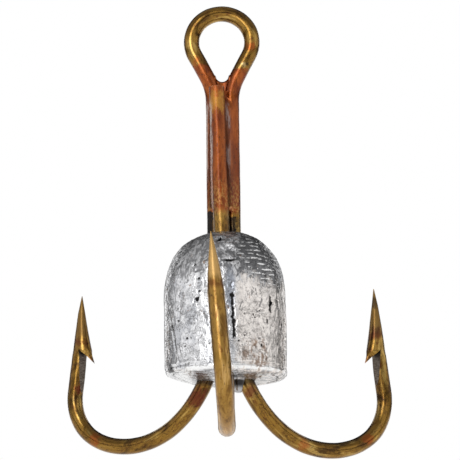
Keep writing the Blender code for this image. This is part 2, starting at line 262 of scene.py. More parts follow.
def geometry_tree(name, inputs):
    """New tree with a geometry input and the named ones: (nodes, {name: input value}, output node)."""
    tree = bpy.data.node_groups.new(name, "GeometryNodeTree")
    tree.interface.new_socket("Geometry", in_out="INPUT", socket_type="NodeSocketGeometry")
    for label, kind in inputs.items():
        tree.interface.new_socket(label, in_out="INPUT", socket_type=SOCKET_KINDS[kind])
    tree.interface.new_socket("Geometry", in_out="OUTPUT", socket_type="NodeSocketGeometry")
    nodes = Nodes(tree)
    entry = tree.nodes.new("NodeGroupInput")
    given = {socket.name: Value(nodes, socket) for socket in entry.outputs if socket.name}
    return nodes, given, tree.nodes.new("NodeGroupOutput")


def add_object(name, data):
    made = bpy.data.objects.new(name, data)
    bpy.context.scene.collection.objects.link(made)
    return made


def plain_mesh(piece):
    """The piece's shape with its modifiers applied, as a new object of the same name."""
    depsgraph = bpy.context.evaluated_depsgraph_get()
    mesh = bpy.data.meshes.new_from_object(piece.evaluated_get(depsgraph), depsgraph=depsgraph)
    name = piece.name
    bpy.data.objects.remove(piece)
    return add_object(name, mesh)


def run_tree(piece, nodes, settings):
    """Runs a geometry tree on a piece with the named settings and returns the plain result."""
    step = piece.modifiers.new("shape", "NODES")
    step.node_group = nodes.tree
    for item in nodes.tree.interface.items_tree:
        if item.in_out == "INPUT" and item.name in settings:
            step[item.identifier] = settings[item.name]
    made = plain_mesh(piece)
    print(made.name, "has", len(made.data.polygons), "faces")
    return made


def mesh_object(name, corners, edges=(), faces=()):
    """Object from plain lists; corners are in millimetres."""
    mesh = bpy.data.meshes.new(name)
    mesh.from_pydata([Vector(corner) * MM for corner in corners], edges, faces)
    return add_object(name, mesh)


def add_attribute(piece, name, values):
    """One number or one vector for each corner of the piece."""
    rows = np.array(values, dtype=np.float32)
    kind = "FLOAT" if rows.ndim == 1 else "FLOAT_VECTOR"
    field = piece.data.attributes.new(name, kind, "POINT")
    field.data.foreach_set("value" if rows.ndim == 1 else "vector", rows.ravel())


def smooth_piece(piece, angle=35.0):
    """Faces point outwards and are shaded smooth, apart from sharp edges."""
    builder = bmesh.new()
    builder.from_mesh(piece.data)
    bmesh.ops.recalc_face_normals(builder, faces=builder.faces)
    builder.to_mesh(piece.data)
    builder.free()
    piece.data.shade_smooth()
    piece.data.set_sharp_from_angle(angle=math.radians(angle))


# %% [markdown]
# ## The camera
# It stands well in front of the hook and about 30 mm below its bends, and looks up at it through a long lens,
# so the underside of the weight just shows.

# %% Camera
CAMERA_AT = Vector((-0.81, -276.7, -99.5))
CAMERA_TILT = 13.58
CAMERA_YAW = -0.37
CAMERA_ROLL = -0.77
CAMERA_LENS = 135.2


def make_camera():
    tilt = math.radians(CAMERA_TILT)
    yaw = math.radians(CAMERA_YAW)
    roll = math.radians(CAMERA_ROLL)
    back = Vector((math.sin(yaw) * math.cos(tilt), -math.cos(yaw) * math.cos(tilt), -math.sin(tilt)))
    level = Vector((math.cos(yaw), math.sin(yaw), 0.0))
    above = back.cross(level)
    right = level * math.cos(roll) + above * math.sin(roll)
    up = above * math.cos(roll) - level * math.sin(roll)
    lens = bpy.data.cameras.new("camera")
    lens.lens = CAMERA_LENS
    lens.sensor_width = 36.0
    lens.clip_start = 0.01
    camera = add_object("camera", lens)
    turned = Matrix((right, up, back)).transposed().to_4x4()
    camera.matrix_world = Matrix.Translation(CAMERA_AT * MM) @ turned
    bpy.context.scene.camera = camera
    return camera


camera = make_camera()
print("camera is", round(CAMERA_AT.length, 1), "mm from the line eye")

# %% [markdown]
# ## The wires' paths
# A wire is drawn as a line of stations. Each one knows which way the outside of the bend faces and how wide
# the wire is there, because the points are ground and barbed. The bends are arcs that tighten towards the
# point, as a hand-bent hook's do.

# %% Bends and points in the hook's own plane
ARC_STEP = 1.5
STRAIGHT_STEP = 0.4
FINE_STEP = 0.16


def ease(t):
    """Goes smoothly from 0 to 1."""
    t = min(1.0, max(0.0, t))
    return t * t * (3 - 2 * t)


def arc_steps(start, end):
    """Headings along an arc, without its first one."""
    count = max(1, math.ceil(abs(end - start) / ARC_STEP))
    return [start + (end - start) * (i + 1) / count for i in range(count)]


def hook_outline(size, reach):
    """(out from the axis, height, heading) down the bend and up to the tip."""
    out = BUNDLE_R
    height = SHANK_FOOT
    heading = 0.0
    outline = [(out, height, heading)]
    for radius, end in BEND_ARCS:
        for turn in arc_steps(heading, end):
            middle = math.radians((heading + turn) / 2)
            step = 2 * radius * size * math.sin(math.radians(turn - heading) / 2)
            out += step * math.sin(middle)
            height -= step * math.cos(middle)
            heading = turn
            outline.append((out, height, heading))
    straight = math.radians(heading)
    count = math.ceil(reach / FINE_STEP)
    for i in range(1, count + 1):
        along = reach * i / count
        outline.append((out + along * math.sin(straight), height - along * math.cos(straight), heading))
    return outline


def eye_outline():
    """(x, z) from the top of the eye down its right leg to the shank."""
    outline = [(0.0, EYE_R)]
    for heading in arc_steps(90.0, -EYE_LEG_ANGLE):
        turn = math.radians(heading)
        outline.append((EYE_R * math.cos(turn), EYE_R * math.sin(turn)))
    lean = math.radians(EYE_LEG_ANGLE)
    leg_x, leg_z = outline[-1]
    start_x = LEG_X + NECK_R * (1 - math.cos(lean))
    start_z = leg_z - (leg_x - start_x) / math.tan(lean)
    foot_z = start_z - NECK_R * math.sin(lean)
    for i in range(1, 12):
        share = i / 11
        outline.append((leg_x + (start_x - leg_x) * share, leg_z + (start_z - leg_z) * share))
    for heading in arc_steps(EYE_LEG_ANGLE, 0.0):
        turn = math.radians(heading)
        outline.append((LEG_X + NECK_R * (1 - math.cos(turn)), foot_z + NECK_R * math.sin(turn)))
    return outline


print("stations on one bend and point:", len(hook_outline(1.0, 17.7)))

# %% Stations of the two wires
def leg_jog(z):
    """The legs move back from the eye's plane, to make room for the front wire."""
    return LEG_Y * ease((NECK_JOG_TOP - z) / (NECK_JOG_TOP - NECK_JOG_FOOT))


def side_wire(side, size, reach):
    """Half of the double hook, from the eye's top to a tip: (centre, outward). Side is 1 or -1."""
    stations = []
    outline = eye_outline()
    for i, (x, z) in enumerate(outline):
        before = outline[max(0, i - 1)]
        after = outline[min(len(outline) - 1, i + 1)]
        tangent = Vector((after[0] - before[0], after[1] - before[1])).normalized()
        if i == 0:
            tangent = Vector((1.0, 0.0))
        stations.append((Vector((x, leg_jog(z), z)), Vector((tangent.y, 0.0, -tangent.x))))
    shank_top = outline[-1][1]
    count = math.ceil((shank_top - SHANK_FOOT) / STRAIGHT_STEP)
    for i in range(1, count):
        drop = i / count
        z = shank_top + (SHANK_FOOT - shank_top) * drop
        turn = math.radians(HOOK_AZIMUTH) * drop
        stations.append((Vector((LEG_X, leg_jog(z), z)), Vector((-math.cos(turn), -math.sin(turn), 0))))
    azimuth = math.radians(HOOK_AZIMUTH)
    radial = Vector((math.cos(azimuth), math.sin(azimuth), 0))
    for out, z, heading in hook_outline(size, reach):
        turn = math.radians(heading)
        outward = -radial * math.cos(turn) - Vector((0, 0, math.sin(turn)))
        stations.append((radial * out + Vector((0, 0, z)), outward))
    return [(Vector((side * c.x, c.y, c.z)), Vector((side * n.x, n.y, n.z))) for c, n in stations]


def front_centre(x, z):
    """Centre of the front wire where it lies on the left leg, one pitch away from it."""
    return Vector((x, LEG_Y - math.sqrt(WIRE_PITCH ** 2 - (x + LEG_X) ** 2), z))


def front_wire(size, reach):
    """The single hook's wire, from its sawn end to its tip: (centre, outward)."""
    stations = []
    count = math.ceil((FRONT_END - SHANK_FOOT) / STRAIGHT_STEP)
    for i in range(count):
        drop = i / count
        z = FRONT_END + (SHANK_FOOT - FRONT_END) * drop
        stations.append((front_centre(FRONT_END_SHIFT * (1 - drop), z), Vector((0, 1, 0))))
    outline = hook_outline(size, reach)
    lowest = min(z for _, z, _ in outline)
    lean = math.tan(math.radians(FRONT_POINT_LEAN))
    for out, z, heading in outline:
        turn = math.radians(heading)
        x = -lean * (z - lowest) if heading > 90 else 0.0
        stations.append((Vector((x, -out, z)), Vector((0, math.cos(turn), -math.sin(turn)))))
    return stations


paths = {
    "right": side_wire(1, *HOOK_SIZES["right"]),
    "left": side_wire(-1, *HOOK_SIZES["left"]),
    "front": front_wire(*HOOK_SIZES["front"]),
}
lowest_point = min(centre.z for path in paths.values() for centre, _ in path) - WIRE_R
print("bends reach down to", round(lowest_point, 2), "mm; the frame says", round(hook_low.z / MM, 2))

# %% Width of the wire at each station
def point_section(from_tip, barb):
    """(shift outwards, half width in the plane, half width sideways, pinch) at a distance from the tip."""
    barb_reach, barb_out, notch_reach, _ = barb
    outer = TIP_SHIFT + TIP_R + (WIRE_R - TIP_SHIFT - TIP_R) * min(1.0, from_tip / 3.0)
    tip_in = TIP_R - TIP_SHIFT
    share = min(1.0, from_tip / barb_reach)
    inner = tip_in + (barb_out - tip_in) * ((1 - BARB_FLARE) * share + BARB_FLARE * share ** 5)
    past_barb = from_tip - barb_reach - BARB_BACK
    if past_barb > 0:
        inner = WIRE_R + (inner - WIRE_R) * max(0.0, 1 - past_barb)
    ground = min(1.0, from_tip / SPEAR_TAPER)
    sideways = TIP_R + (WIRE_R - TIP_R) * (1 - (1 - ground) ** 1.25)
    return (outer - inner) / 2, (outer + inner) / 2, sideways, ease((from_tip - notch_reach) / PINCH_RUN)


def path_object(name, stations, tips):
    """The wire's path as a line of vertices that carry its section. Tips is {0 or -1: hook}, by wire end."""
    centres = np.array([centre for centre, _ in stations])
    outwards = np.array([outward for _, outward in stations])
    tangents = np.gradient(centres, axis=0)
    tangents /= np.linalg.norm(tangents, axis=1, keepdims=True)
    outwards -= tangents * np.sum(outwards * tangents, axis=1, keepdims=True)
    outwards /= np.linalg.norm(outwards, axis=1, keepdims=True)
    steps = np.linalg.norm(np.diff(centres, axis=0), axis=1)
    along = np.concatenate(([0.0], np.cumsum(steps)))
    sections = []
    for distance in along:
        section = (0.0, WIRE_R, WIRE_R, 0.0)
        for end, hook in tips.items():
            from_tip = abs(along[end] - distance)
            if from_tip < SHAVE_REACH:
                section = point_section(from_tip, BARBS[hook])
        sections.append(section)
    sections = np.array(sections)
    piece = mesh_object(name, centres, edges=[(i, i + 1) for i in range(len(centres) - 1)])
    add_attribute(piece, "centre", centres * MM)
    add_attribute(piece, "outward", outwards)
    add_attribute(piece, "sideways", np.cross(tangents, outwards))
    add_attribute(piece, "section", sections[:, :3] * MM)
    add_attribute(piece, "pinch", sections[:, 3])
    add_attribute(piece, "along", along)
    return piece


double_stations = [*paths["left"][:0:-1], *paths["right"]]
print("the double hook's wire has", len(double_stations), "stations")

# %% [markdown]
# ## Sweeping a wire
# A round profile is carried along the path. Every ring is then set exactly from the path's own section and
# directions, so the ground points and the twist of the wire follow the rule and nothing turns by itself.
# The sweep also lays out a coordinate along and round the wire, which the finishes use for drawn streaks.

# %% The sweep's tree
def wire_tree():
    inputs = {"Sides": int, "Barb pinch": float, "Unevenness": float, "Finish": "material"}
    nodes, given, result = geometry_tree("drawn_wire", inputs)
    geometry, stored, scaled = nodes.geometry, nodes.stored, nodes.scaled

    path = geometry("MeshToCurve", Mesh=given["Geometry"])
    circle = geometry("CurvePrimitiveCircle", {"mode": "RADIUS"}, Resolution=given["Sides"], Radius=MM)
    circle = nodes.store(circle, "turn", geometry("InputIndex") / given["Sides"] * (2 * math.pi))
    tube = geometry("CurveToMesh", Curve=path, Profile_Curve=circle, Fill_Caps=True)
    turn = stored("turn", "FLOAT")
    cosine = turn.maths("COSINE", turn)
    sine = turn.maths("SINE", turn)
    shift, in_plane, across = nodes.parts(stored("section"))
    outer = in_plane + shift
    inner = in_plane - shift
    flap = WIRE_R * MM + (inner - WIRE_R * MM) * abs(cosine) ** given["Barb pinch"]
    on_outside = cosine.maths("GREATER_THAN", cosine)
    pinched = (flap + (outer - flap) * on_outside) * cosine
    oval = shift + in_plane * cosine
    rise = oval + (pinched - oval) * stored("pinch", "FLOAT")
    out = scaled(stored("outward"), rise)
    aside = scaled(stored("sideways"), across * sine)
    place = nodes.vector("ADD", nodes.vector("ADD", stored("centre"), out), aside)
    tube = geometry("SetPosition", Geometry=tube, Position=place)
    laid = nodes.combine(stored("along", "FLOAT"), WIRE_R * cosine, WIRE_R * sine)
    tube = nodes.store(tube, "laid", laid, "FLOAT_VECTOR")
    dents = nodes.noise(stored("laid"), 1.0, stretch=(0.45, 1, 1), seed=3.0) - 0.5
    swell = nodes.noise(stored("laid"), 0.22, 1.0, seed=8.0) - 0.5
    uneven = (dents + swell * 2.0) * given["Unevenness"]
    push = scaled(geometry("InputNormal"), uneven)
    tube = geometry("SetPosition", Geometry=tube, Offset=push)
    nodes.hand_over(tube, given["Finish"], result)
    return nodes


wire_nodes = wire_tree()
print("the sweep has", len(wire_nodes.tree.nodes), "nodes")

# %% [markdown]
# ## Bronzed steel
# Antique-bronze hooks are steel with a thin brown copper-tin coat under clear lacquer. Brown patina lies
# over a golden metal, with streaks along the wire from drawing it and dark specks. The lacquer adds a pale
# highlight over the tinted one, which is why the brightest lines on the wire look cream and not gold.

# %% Starting a material
def new_material(name):
    """(material, nodes, its shader node)."""
    finish = bpy.data.materials.new(name)
    finish.use_nodes = True
    nodes = Nodes(finish.node_tree)
    return finish, nodes, finish.node_tree.nodes["Principled BSDF"]


def feed(nodes, shader, **links):
    """Links or sets the shader's sockets; an underscore stands for a space."""
    for name, value in spaced(links).items():
        socket = shader.inputs[name]
        if isinstance(value, Value):
            nodes.tree.links.new(value.socket, socket)
        else:
            socket.default_value = value


def millimetres(nodes):
    """Place on the piece in millimetres."""
    place = nodes.add("ShaderNodeTexCoord", None, None, 3)
    return nodes.scaled(place, 1 / MM)


def bump(nodes, height, distance):
    """Fine relief; height goes from 0 to 1 and distance is in millimetres."""
    return nodes.add("ShaderNodeBump", None, {"Strength": 1.0, "Distance": distance * MM, "Height": height})


# %% Bronze, copper film, soot and painted shade on the wires
FILM_TOP = -4.7
FILM_FOOT = -30.2
HAZE_GREY = colour(178, 162, 154)
GOLD = colour(176, 126, 66)
LACQUER = {"Coat_Weight": 0.3, "Coat_Roughness": 0.18}
SPEAR_GROUND = (6.3, 7.9)


def copper_film(nodes, place, tone):
    """(tone, film, haze): copper, flux haze and soot from the brazing, and painted shade and shadow at the
    shank's foot, over a wire's own tone.
    """
    x, y, z = nodes.parts(place)
    band, noise, mix = nodes.band, nodes.noise, nodes.mix
    ragged = noise(place, 0.8, 4.0, 0.65, 0.3, seed=4.0) - 0.5
    foot_edge = band(z + ragged * 4.0, FILM_FOOT - 0.5, FILM_FOOT + 0.9)
    top_edge = 1 - band(z + ragged * 3.4 + x * 0.12, FILM_TOP - 0.5, FILM_TOP + 0.5)
    film = foot_edge * top_edge
    cloud = noise(place, 0.45, 3.0, 0.6, 0.3, (1.3, 1.3, 0.35), 21.0)
    fleck = noise(place, 2.0, 4.0, 0.65, 0.2, (1.2, 1.2, 0.5), 26.0)
    haze = noise(place, 0.9, 5.0, 0.7, 0.4, (1, 1, 0.45), 41.0)
    left_edge = 1 - band(x + (haze - 0.5) * 0.8, -1.9, -1.65)
    mid_shank = band(z + (haze - 0.5) * 8.0, -25.0, -21.0) * (1 - band(z, -12.0, -10.0))
    grey = band(fleck, 0.3, 0.5) * left_edge * mid_shank
    gold = noise(place, 2.2, 4.0, 0.7, 0.4, (1, 1, 0.7), 33.0)
    low = 1 - band(z + ragged * 8.0, FILM_FOOT + 1.0, FILM_FOOT + 8.0)
    copper = nodes.coats(
        mix(band(cloud, 0.38, 0.62), colour(116, 52, 17), colour(160, 84, 32)),
        (band(fleck, 0.54, 0.66) * 0.7, colour(88, 38, 16)),
        (grey * 0.9, HAZE_GREY),
        (band(gold, 0.47, 0.58) * low * 0.9, GOLD),
    )
    # Painted shade: just above the weight the shank is painted near black in the grooves behind the front
    # wire, with some soot patches as well.
    left_more = 1 - band(x, -0.5, 0.5)
    bare = 1 - band(z - left_more + ragged, FILM_FOOT - 0.5, FILM_FOOT - 0.2)
    foot = band(z, LEAD_TOP - 1.5, LEAD_TOP) * bare
    groove_shade = band(y, -1.0, -0.2) * (1 - band(x + ragged * 0.6, 1.8, 2.1) * 0.75)
    soot_and_shade = foot * (groove_shade * 0.96 + band(gold, 0.5, 0.6) * 0.45)
    # Painted shadow: the wires are painted dark just under the weight, where they come out of it.
    by_axis = 1 - band(nodes.distance(nodes.combine(x, y), (0, 0, 0)), 4.5, 6.5)
    wire_exit_shadow = band(z + ragged, LEAD_FOOT - 1.1, LEAD_FOOT - 0.4) * (1 - band(z, -50.0, -40.0))
    tone = nodes.coats(
        tone,
        (film, copper),
        (soot_and_shade.maths("MINIMUM", soot_and_shade, 1.0), colour(20, 13, 10)),
        (wire_exit_shadow * by_axis * 0.8, colour(24, 14, 8)),
    )
    return tone, film, grey


def bronze(name, tones, shine, relief, tips, stains_and_painted_light):
    """Lacquered bronze. Tones are dark, middle, light, rust and ground; spots are (place, radius, tone) and
    hold stains, painted highlights and painted shade.
    """
    finish, nodes, shader = new_material(name)
    dark, middle, light, rust, ground_tone = tones
    band, noise = nodes.band, nodes.noise
    place = millimetres(nodes)
    laid = nodes.add("ShaderNodeAttribute", {"attribute_name": "laid"}, None, 1)
    along = nodes.parts(laid)[0]

    cloud = noise(laid, 0.55, 5.0, 0.65, 0.6, (0.5, 1, 1), 1.0)
    streak = noise(laid, 0.65, 4.0, 0.6, 0.3, (0.25, 1.5, 1.5), 5.0)
    fleck = noise(laid, 1.2, 5.0, 0.65, 0.4, (0.6, 1, 1), 9.0)
    speck = noise(laid, 4.0, stretch=(0.6, 1, 1), seed=12.0)
    seam = 1 - band(abs(streak - 0.46), 0.004, 0.02)
    tone = nodes.coats(
        nodes.mix(band(cloud, 0.36, 0.54), dark, middle),
        (band(streak, 0.52, 0.64) * 0.6, light),
        (band(fleck, 0.56, 0.68) * 0.75, rust),
        (band(speck, 0.62, 0.7) * 0.6, colour(34, 18, 8)),
        (seam * band(cloud, 0.46, 0.54) * relief * 0.7, colour(64, 28, 8)),
    )
    tone, film, haze = copper_film(nodes, place, tone)
    ground = 0.0
    ring = 0.0
    for tip in tips:
        from_tip = abs(along - tip)
        ground = 1 - band(from_tip, *SPEAR_GROUND) + ground
        ring = band(from_tip, 7.2, 7.9) * (1 - band(from_tip, 8.2, 9.2)) + ring
    ring = ring * band(fleck, 0.42, 0.5)
    tone = nodes.coats(tone, (ground * 0.75, ground_tone), (ring * 0.8, rust))
    # The spots lay stains, painted highlights and painted shade over the tone.
    for spot, radius, spot_tone in stains_and_painted_light:
        on_spot = nodes.near(place, spot, radius, (fleck - 0.5) * radius * 2.2)
        tone = nodes.mix(on_spot * 0.75, tone, spot_tone)
    rough = shine + band(cloud, 0.4, 0.65) * 0.06 + band(speck, 0.6, 0.7) * 0.15
    rough = rough + ground * 0.12 + film * 0.14 + haze * 0.2
    height = noise(laid, 1.0, 4.0, 0.6, stretch=(0.4, 1, 1), seed=17.0) + fleck * 0.6
    relief_bump = bump(nodes, height, 0.008 * relief)
    feed(nodes, shader, Base_Color=tone, Metallic=1 - haze * 0.8, Roughness=rough, Normal=relief_bump,
         **LACQUER)
    return finish


def shaved_steel():
    """Bare grey metal where the chisel has raised the barb, with painted shade at each notch's root."""
    finish, nodes, shader = new_material("shaved_steel")
    place = millimetres(nodes)
    lines = nodes.noise(place, 1.5, 3.0, 0.6, stretch=(1.0, 1.0, 4.0), seed=2.0)
    tone = nodes.mix(nodes.band(lines, 0.35, 0.65), colour(92, 78, 66), colour(148, 136, 124))
    # Painted shade: each notch's root is painted near black.
    for hook in paths:
        tone = nodes.mix(nodes.near(place, notch_root(hook), 1.5), tone, colour(12, 10, 9))
    feed(nodes, shader, Base_Color=tone, Metallic=1.0, Roughness=0.38, Normal=bump(nodes, lines, 0.03))
    return finish


# %% The wires' own tones
def wire_length(stations):
    return sum((second[0] - first[0]).length for first, second in zip(stations, stations[1:]))


def on_bend(hook, z):
    """Centre of a hook's wire where it first passes a height on its way down."""
    return next(centre for centre, _ in paths[hook] if centre.z < z)


def point_frame(hook):
    """(tip, direction of the point, direction to its inner side)."""
    tip, outward = paths[hook][-1]
    straight = (tip - paths[hook][-20][0]).normalized()
    return tip, straight, -(outward - outward.dot(straight) * straight).normalized()


def by_point(hook, from_tip, inward=0.0):
    """Place at a distance from a tip, and inwards from the wire's centre."""
    tip, straight, inner_side = point_frame(hook)
    if from_tip < HOOK_SIZES[hook][1]:
        return tip - straight * from_tip + inner_side * inward
    left = from_tip
    for (after, _), (before, _) in zip(paths[hook][::-1], paths[hook][-2::-1]):
        left -= (after - before).length
        if left <= 0:
            return before


def notch_root(hook):
    return by_point(hook, BARBS[hook][2], BARBS[hook][3])


def barb_tip(hook):
    return by_point(hook, BARBS[hook][0], BARBS[hook][1])


RED_BROWN = colour(92, 24, 8)
ORANGE_BROWN = colour(150, 72, 20)
SOOT_AND_SHADE_BLACK = colour(20, 13, 8)
PALE_GOLD = colour(212, 172, 108)
SIDE_TONES = (
    colour(76, 50, 10), colour(138, 102, 36), colour(200, 166, 92), colour(88, 42, 10), colour(120, 90, 42)
)
FRONT_TONES = (colour(112, 78, 26), colour(158, 120, 54), PALE_GOLD, colour(106, 62, 20), PALE_GOLD)
FRONT_SIDE = Vector((0.0, -0.9, 0.0))
SIDE_STAINS_AND_PAINTED_BEAD = (
    (on_bend("left", -60.0) + FRONT_SIDE, 2.4, RED_BROWN),
    (by_point("left", 26.5) + FRONT_SIDE, 1.5, ORANGE_BROWN),
    (by_point("left", 16.0, 0.9) + FRONT_SIDE, 1.3, RED_BROWN),
    (on_bend("right", -58.8) + FRONT_SIDE, 1.5, RED_BROWN),
    (on_bend("right", -67.2) + FRONT_SIDE, 1.4, ORANGE_BROWN),
    (by_point("right", 27.5) + FRONT_SIDE, 1.4, ORANGE_BROWN),
    (by_point("right", 13.2, 0.3) + FRONT_SIDE, 0.9, RED_BROWN),
    (by_point("right", 7.5) + FRONT_SIDE, 1.3, colour(70, 34, 12)),
    (by_point("right", 2.2), 1.6, SOOT_AND_SHADE_BLACK),
    (barb_tip("right"), 2.2, colour(66, 28, 10)),
    (barb_tip("left"), 2.0, colour(66, 28, 10)),
    (Vector((-4.2, -1.0, -3.4)), 0.9, ORANGE_BROWN),
    (Vector((4.9, -1.0, -1.2)), 1.2, ORANGE_BROWN),
    # Painted highlight and shade: a pale spot with a black crescent beside it stands for a small braze bead
    # on the eye's right leg.
    (Vector((3.6, -1.1, -4.3)), 0.6, colour(226, 196, 140)),
    (Vector((4.2, -1.0, -4.3)), 0.4, SOOT_AND_SHADE_BLACK),
)
SAWN_END = paths["front"][0][0]
FRONT_STAIN_AND_RIM_HIGHLIGHT = (
    (SAWN_END + Vector((0.2, -1.0, -2.8)), 2.5, colour(186, 134, 54)),
    # Painted highlight: a pale spot on the rim of the sawn end.
    (SAWN_END + Vector((0.0, 0.0, 1.0)), 1.8, colour(232, 196, 160)),
)
side_tips = (0.0, wire_length(double_stations))
front_tips = (wire_length(paths["front"]),)
side_bronze = bronze("bronzed_wire", SIDE_TONES, 0.19, 1.0, side_tips, SIDE_STAINS_AND_PAINTED_BEAD)
front_bronze = bronze("bronzed_front_wire", FRONT_TONES, 0.3, 0.25, front_tips, FRONT_STAIN_AND_RIM_HIGHLIGHT)
shaved = shaved_steel()
print("wire finishes:", side_bronze.name, front_bronze.name, shaved.name)

# %% [markdown]
# ## The hooks
# The barb is a flap that a chisel raises from the inner side of the point. The sweep already leaves the metal
# for it, and a wedge cut away under it makes the notch and the flat that the chisel leaves.

# %% Sweeping the wires and cutting the barbs
WIRE_SIDES = 36
UNEVENNESS = 0.05
BARB_PINCH = 8.0
WEDGE_OVERSHOOT = 1.6


def notch_wedge(hook, finish):
    """Closed wedge that is cut from the wire under the barb."""
    barb_reach, barb_out, notch_reach, notch_in = BARBS[hook]
    tip, straight, inward = point_frame(hook)
    across = straight.cross(inward)
    wide = notch_in + (barb_out - notch_in) * WEDGE_OVERSHOOT
    profile = (
        (notch_reach, notch_in),
        (notch_reach + (barb_reach - notch_reach) * WEDGE_OVERSHOOT, wide),
        (SHAVE_REACH + 1.0, wide),
        (SHAVE_REACH + 1.0, WIRE_R + 0.1),
        (SHAVE_REACH, WIRE_R),
    )
    half = 2 * WIRE_R
    corners = [
        tip - straight * back + inward * out + across * side * half
        for side in (-1, 1)
        for back, out in profile
    ]
    count = len(profile)
    faces = [tuple(range(count)), tuple(range(2 * count - 1, count - 1, -1))]
    faces += [(i, (i + 1) % count, (i + 1) % count + count, i + count) for i in range(count)]
    wedge = mesh_object(f"{hook}_wedge", corners, faces=faces)
    wedge.data.materials.append(finish)
    smooth_piece(wedge, 1.0)
    return wedge


def cut_away(piece, tools):
    """Cuts the tools from the piece; every corner keeps its place along the wire."""
    before = np.zeros(len(piece.data.vertices) * 3, np.float32)
    piece.data.attributes["laid"].data.foreach_get("vector", before)
    before = before.reshape(-1, 3)
    places = KDTree(len(before))
    for i, vertex in enumerate(piece.data.vertices):
        places.insert(vertex.co, i)
    places.balance()
    for tool in tools:
        step = piece.modifiers.new(tool.name, "BOOLEAN")
        step.operation = "DIFFERENCE"
        step.solver = "EXACT"
        step.material_mode = "TRANSFER"
        step.object = tool
    cut = plain_mesh(piece)
    for tool in tools:
        bpy.data.objects.remove(tool)
    nearest = [places.find(vertex.co)[1] for vertex in cut.data.vertices]
    if "laid" in cut.data.attributes:
        cut.data.attributes.remove(cut.data.attributes["laid"])
    add_attribute(cut, "laid", before[nearest])
    return cut


def make_wire(name, stations, tips, finish):
    path = path_object(name, stations, tips)
    settings = {"Sides": WIRE_SIDES, "Barb pinch": BARB_PINCH, "Unevenness": UNEVENNESS * MM,
                "Finish": finish}
    wire = run_tree(path, wire_nodes, settings)
    smooth_piece(wire)
    wire = cut_away(wire, [notch_wedge(hook, shaved) for hook in tips.values()])
    smooth_piece(wire, 30.0)
    return wire


double_hook = make_wire("bronzed_double_hook", double_stations, {0: "left", -1: "right"}, side_bronze)
single_hook = make_wire("bronzed_single_hook", paths["front"], {-1: "front"}, front_bronze)
print("double hook materials:", [slot.name for slot in double_hook.data.materials])

# %% [markdown]
# ## Copper braze
# Molten copper is drawn into the grooves between the wires and sets with a hollow surface that meets each
# wire tangentially. Its section is found the way a welder's gauge would: a circle that touches both wires
# from outside. Where the copper runs out, the circle shrinks and the surface sinks into the groove.

# %% Finish of the braze
def copper_braze():
    finish, nodes, shader = new_material("copper_braze")
    place = millimetres(nodes)
    band, noise = nodes.band, nodes.noise
    x, _, z = nodes.parts(place)
    cloud = noise(place, 0.45, 4.0, 0.6, 0.3, (1.3, 1.3, 0.35), 21.0)
    haze = noise(place, 0.9, 3.0, 0.6, 0.3, (1, 1, 0.35), 41.0)
    beside = band(x, 0.2, 0.5) * (1 - band(x, 1.0, 1.4)) * band(z, -26.0, -22.0)
    beside = beside * (1 - band(z, -11.5, -10.0))
    soot_and_shade = noise(place, 2.2, 4.0, 0.65, stretch=(1, 1, 0.6), seed=47.0)
    gold = noise(place, 2.2, 4.0, 0.7, 0.4, (1, 1, 0.7), 33.0)
    low = 1 - band(z, FILM_FOOT + 1.0, FILM_FOOT + 8.0)
    tone = nodes.coats(
        nodes.mix(band(cloud, 0.38, 0.62), colour(122, 56, 18), colour(160, 84, 34)),
        (band(haze, 0.4, 0.58) * beside * 0.9, colour(176, 150, 142)),
        (band(soot_and_shade, 0.58, 0.66) * 0.75, colour(70, 32, 18)),
        (band(gold, 0.47, 0.58) * low * 0.9, GOLD),
    )
    rough = 0.32 + band(haze, 0.45, 0.65) * 0.12
    height = noise(place, 1.8, 4.0, 0.6, stretch=(1, 1, 0.4), seed=3.0)
    feed(nodes, shader, Base_Color=tone, Metallic=1.0, Roughness=rough, Coat_Weight=0.3, Coat_Roughness=0.2,
         Normal=bump(nodes, height, 0.03))
    return finish


braze_finish = copper_braze()
print("braze finish:", braze_finish.name)

# %% Shape of the braze
SEAM_STEP = 0.35
SEAM_END_R = 0.22
SEAM_FADE = 1.6
ARC_POINTS = 10
ROOT_SPREAD = 0.62
ROOT_DEPTH = 0.2


def centre_at(stations, z):
    """Where a wire's centreline passes a height in the shank."""
    for (above, _), (below, _) in zip(stations, stations[1:]):
        if above.z >= z >= below.z:
            return above.lerp(below, (above.z - z) / (above.z - below.z))
    raise ValueError(f"no wire at {z}")


def seam_section(first, second, outside, pool_r):
    """Closed section between two wires: the hollow outer surface, then two roots inside the wires."""
    along = (second - first).xy.normalized()
    outward = Vector((along.y, -along.x))
    if outward.dot(outside) < 0:
        outward = -outward
    middle = (first.xy + second.xy) / 2
    half = (second - first).xy.length / 2
    pool_r = max(pool_r, half - WIRE_R + 0.05)
    rise = math.sqrt((WIRE_R + pool_r) ** 2 - half ** 2)
    reach = math.asin(half / (WIRE_R + pool_r))
    section = []
    for i in range(ARC_POINTS + 1):
        turn = reach * (2 * i / ARC_POINTS - 1)
        section.append(middle + outward * (rise - pool_r * math.cos(turn)) + along * pool_r * math.sin(turn))
    deep = min(-ROOT_DEPTH, rise - pool_r - ROOT_DEPTH)
    for root in (half * ROOT_SPREAD, -half * ROOT_SPREAD):
        section.append(middle + along * root + outward * deep)
    return [(point.x, point.y) for point in section]


def loft(name, sections, finish):
    """Closed solid through sections with the same number of corners."""
    count = len(sections[0])
    corners = [corner for section in sections for corner in section]
    faces = [tuple(range(count)), tuple(range(len(corners) - 1, len(corners) - count - 1, -1))]
    for ring in range(len(sections) - 1):
        start = ring * count
        for k in range(count):
            after = (k + 1) % count
            faces.append((start + k, start + after, start + count + after, start + count + k))
    piece = mesh_object(name, corners, faces=faces)
    piece.data.materials.append(finish)
    smooth_piece(piece)
    return piece


